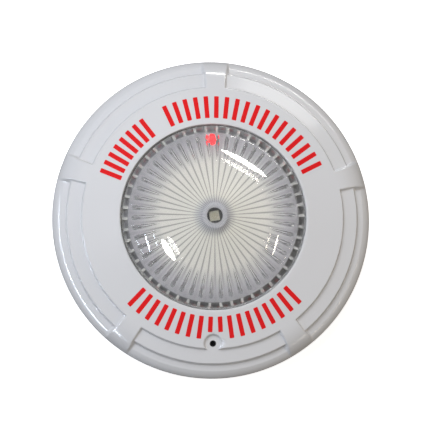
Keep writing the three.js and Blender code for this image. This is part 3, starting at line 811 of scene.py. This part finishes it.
def makeStatusLight():
    low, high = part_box("status_led")
    centre = (low + high) / 2
    radius, tip, bottom = statusLight["radius"], high.z / mm, low.z / mm
    flange, edge, top = statusLight["flange"], statusLight["edge"], bottom + statusLight["flangeHeight"]
    bend = [
        (radius * math.cos(math.radians(a)), tip - radius + radius * math.sin(math.radians(a)))
        for a in range(0, 91, statusLight["bendStep"])
    ]
    bend[-1] = (0, tip)
    profile = [
        (0, bottom), (flange - edge, bottom), (flange, bottom + edge), (flange, top - edge),
        (flange - edge, top), (radius, top + edge / 2),
    ] + bend
    bm = spinRound(profile, statusLight["steps"])
    bmesh.ops.translate(bm, verts=bm.verts, vec=(centre.x, centre.y, 0))
    material, nodes, links, shader = newMaterial("redEpoxy")
    cloud = addNoise(nodes, links, statusLight["cloudScale"], 2.0)
    dark, bright = statusLight["dark"], statusLight["bright"]
    addTint(nodes, links, cloud.outputs["Fac"], dark, bright, shader.inputs["Emission Color"])
    shader.inputs["Base Color"].default_value = statusLight["body"]
    shader.inputs["Roughness"].default_value = statusLight["roughness"]
    shader.inputs["Emission Strength"].default_value = statusLight["glow"]
    return finishPiece("statusLight", bm, material, "head", ["status_led"])


makeStatusLight()
print("stage: reflector and status light")


marks = {
    "inner": 35.6, "outer": 43.7, "width": 1.65, "thickness": 0.04, "lift": 0.012, "corner": 0.25,
    "bayClearance": 6.0, "shortenedBy": 2.6,   # the bars beside the locking screw's bay
    # start and end in degrees, and the number of bars
    "rows": [(24.6, 116.6, 18), (124.6, 159.8, 8), (223.8, 318.2, 18)],
}


def makeMarks(material):
    bm = bmesh.new()
    length = (marks["outer"] - marks["inner"]) * mm
    middle = (marks["outer"] + marks["inner"]) / 2
    slope = math.atan(cover["faceSlope"])
    for start, end, count in marks["rows"]:
        for i in range(count):
            degrees = mix(start, end, (i + 0.5) / count)
            nearBay = abs(degrees - cover["bayAngle"]) < marks["bayClearance"]
            cutBack = marks["shortenedBy"] * mm if nearBay else 0.0
            size = ((length - cutBack) / math.cos(slope), marks["width"] * mm, marks["thickness"] * mm)
            bar = addBox(bm, size, (-cutBack / 2, 0, 0))
            leaning = Matrix.Rotation(slope, 3, "Y")
            around = Matrix.Rotation(math.radians(degrees), 3, "Z")
            height = (faceHeight(middle) + marks["lift"]) * mm
            bmesh.ops.rotate(bm, verts=bar, cent=(0, 0, 0), matrix=leaning)
            bmesh.ops.translate(bm, verts=bar, vec=(middle * mm, 0, height))
            bmesh.ops.rotate(bm, verts=bar, cent=(0, 0, 0), matrix=around)
    corners = [e for e in bm.edges if abs(e.calc_length() - marks["thickness"] * mm) < 1e-6]
    bmesh.ops.bevel(
        bm, geom=corners, offset=marks["corner"] * mm, offset_type="OFFSET", segments=4, profile=0.5,
        affect="EDGES", clamp_overlap=True, material=-1,
    )
    return finishPiece("printedMarks", bm, material, "head", sharpAngle=20)


inkMaterial = mouldedPlastic(
    "redInk", (0.76, 0.011, 0.013), 0.45, grain=1500.0, grainDepth=0.000003, mottle=0.05, specular=0.3,
)
makeMarks(inkMaterial)
print("stage: printed marks")


baseTray = {
    "radius": 50.5, "height": 8.0, "floor": 2.2, "wall": 2.0, "entry": 11.0, "steps": 240,
    "slotCircle": 27.0, "slotAngles": (0, 90, 180, 270), "slot": (4.0, 11.0),
    "counterbore": (7.4, 14.4, 0.8), "past": 1.0,   # how far tools and joined parts reach past a face
    "lugAngles": (30, 150, 270), "lugAngle": 20.0, "lugInside": 43.3, "lugThickness": 2.6,
    "stopAngle": 3.0, "stopGap": 0.4, "stopInset": 0.05,
    "socketCircle": 45.1, "socketAngle": 270, "socket": 1.2,
    # rounded corners as (radius, height) from the entry, the outer wall, the inner wall and the floor
    "foot": [(0.5, 0)],
    "outerFoot": [(-0.6, 0), (-0.2, 0.15), (0, 0.6)],
    "outerTop": [(0, -0.5), (-0.15, -0.15), (-0.5, 0)],
    "innerTop": [(0.5, 0), (0.15, -0.15), (0, -0.5)],
    "innerFoot": [(0, 1.0), (-0.3, 0.3), (-1.0, 0)],
    "collar": [(2.6, 0), (2.3, 0.15), (2.2, 0.6), (1.9, 0.8), (0.3, 0.8), (0, 0.5)],
    "entryFoot": [(0, 0.5), (0.15, 0.15)],
}


def corner(name, radius, height):
    return [(radius + across, height + up) for across, up in baseTray[name]]


def baseProfile():
    radius, height, floor = baseTray["radius"], baseTray["height"], baseTray["floor"]
    inside, entry = radius - baseTray["wall"], baseTray["entry"]
    return (
        corner("foot", entry, 0) + corner("outerFoot", radius, 0) + corner("outerTop", radius, height)
        + corner("innerTop", inside, height) + corner("innerFoot", inside, floor)
        + corner("collar", entry, floor) + corner("entryFoot", entry, 0)
    )


def makeSlots(width, length, bottom, top):
    slots = bmesh.new()
    for degrees in baseTray["slotAngles"]:
        place = onCircle(baseTray["slotCircle"] * mm, degrees).xy
        addSlot(slots, width * mm, length * mm, place, degrees, bottom * mm, top * mm)
    return slots


def makeBase(material):
    height, floor, past = baseTray["height"], baseTray["floor"], baseTray["past"]
    wall = baseTray["radius"] - baseTray["wall"] + past
    low = height - baseTray["lugThickness"]
    bm = spinRound(baseProfile(), baseTray["steps"])
    piece = finishPiece("baseTray", bm, material, "base", ["base_plate"])
    lugs = bmesh.new()
    near = baseTray["lugInside"]
    for middle in baseTray["lugAngles"]:
        lug = [(near, low), (wall, low), (wall, height), (near, height)]
        addBlock(lugs, lug, middle - baseTray["lugAngle"] / 2, baseTray["lugAngle"], 20)
    joinOrCut(piece, lugs, "UNION")
    stops = bmesh.new()
    near = baseTray["lugInside"] + baseTray["stopInset"]
    for middle in baseTray["lugAngles"]:
        start = middle - (baseTray["lugAngle"] + 2 * baseTray["stopAngle"]) / 2 + baseTray["stopGap"]
        stop = [(near, floor - past), (wall, floor - past), (wall, low + past), (near, low + past)]
        addBlock(stops, stop, start, baseTray["stopAngle"], 4)
    joinOrCut(piece, stops, "UNION")
    width, length = baseTray["slot"]
    cutter = makeSlots(width, length, -past, floor + past)
    socket = onCircle(baseTray["socketCircle"] * mm, baseTray["socketAngle"]).xy
    addRod(cutter, baseTray["socket"] * mm, (low - past) * mm, (height + past) * mm, socket, 40)
    joinOrCut(piece, cutter, "DIFFERENCE")
    width, length, depth = baseTray["counterbore"]
    joinOrCut(piece, makeSlots(width, length, floor - depth, floor + past), "DIFFERENCE")
    return piece


mouldedWhite = mouldedPlastic("satinWhite", (0.58, 0.58, 0.58), 0.42, mottle=0.02)
makeBase(mouldedWhite)
print("stage: base")


nodeFinishes = [
    (mouldedWhite, ["rear_housing"]),
    (brushedMetal("brassStrip", (0.78, 0.58, 0.28), 0.28, (1, 1, 1)),
     ["terminal_contact_", "contact_blade_"]),
    (brushedMetal("zincSteel", (0.72, 0.73, 0.76), 0.25, (1, 1, 1)),
     ["terminal_screw_", "housing_screw_", "pcb_screw_"]),
    (brushedMetal("blackSteel", (0.06, 0.06, 0.065), 0.45, (1, 1, 1)), ["locking_screw"]),
    (brushedMetal("turnedAluminium", (0.80, 0.80, 0.82), 0.24), ["heat_post"]),
    (mouldedPlastic("greenBoard", (0.03, 0.22, 0.09), 0.30, grain=300.0, mottle=0.15, coat=0.3), ["pcb"]),
    (mouldedPlastic("greyMask", (0.07, 0.07, 0.07), 0.4, mottle=0.08), ["led_board"]),
    (mouldedPlastic("whiteNylon", (0.70, 0.70, 0.66), 0.35, mottle=0.03), ["led_connector", "dip_slider_"]),
    (mouldedPlastic("phosphor", (0.42, 0.40, 0.32), 0.45, grain=3000.0, mottle=0.10), ["led_emitter"]),
    (clearPlastic("silicone", (0.97, 0.96, 0.92), 1.41, 0.05), ["led_dome"]),
    (mouldedPlastic("sealRubber", (0.03, 0.03, 0.03), 0.65, mottle=0.2), ["lens_seal"]),
    (mouldedPlastic("shrinkSleeve", (0.02, 0.025, 0.05), 0.22, mottle=0.1, coat=0.4), ["capacitor_"]),
    (mouldedPlastic("blackEpoxy", (0.02, 0.02, 0.022), 0.5, mottle=0.2),
     ["inductor", "controller_chip", "led_spacer"]),
    (mouldedPlastic("redWire", (0.60, 0.02, 0.02), 0.3, mottle=0.05), ["led_lead_red"]),
    (mouldedPlastic("blackWire", (0.02, 0.02, 0.02), 0.3, mottle=0.05), ["led_lead_black"]),
    (mouldedPlastic("switchBlue", (0.02, 0.09, 0.35), 0.4, mottle=0.06), ["dip_switch_body"]),
]


def assignFinishes():
    for material, prefixes in nodeFinishes:
        for name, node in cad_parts.items():
            if any(name.startswith(prefix) for prefix in prefixes):
                node.data.materials.clear()
                node.data.materials.append(material)


assignFinishes()
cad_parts["led_dome"].visible_shadow = False
print("stage: finishes")

bpy.context.view_layer.update()
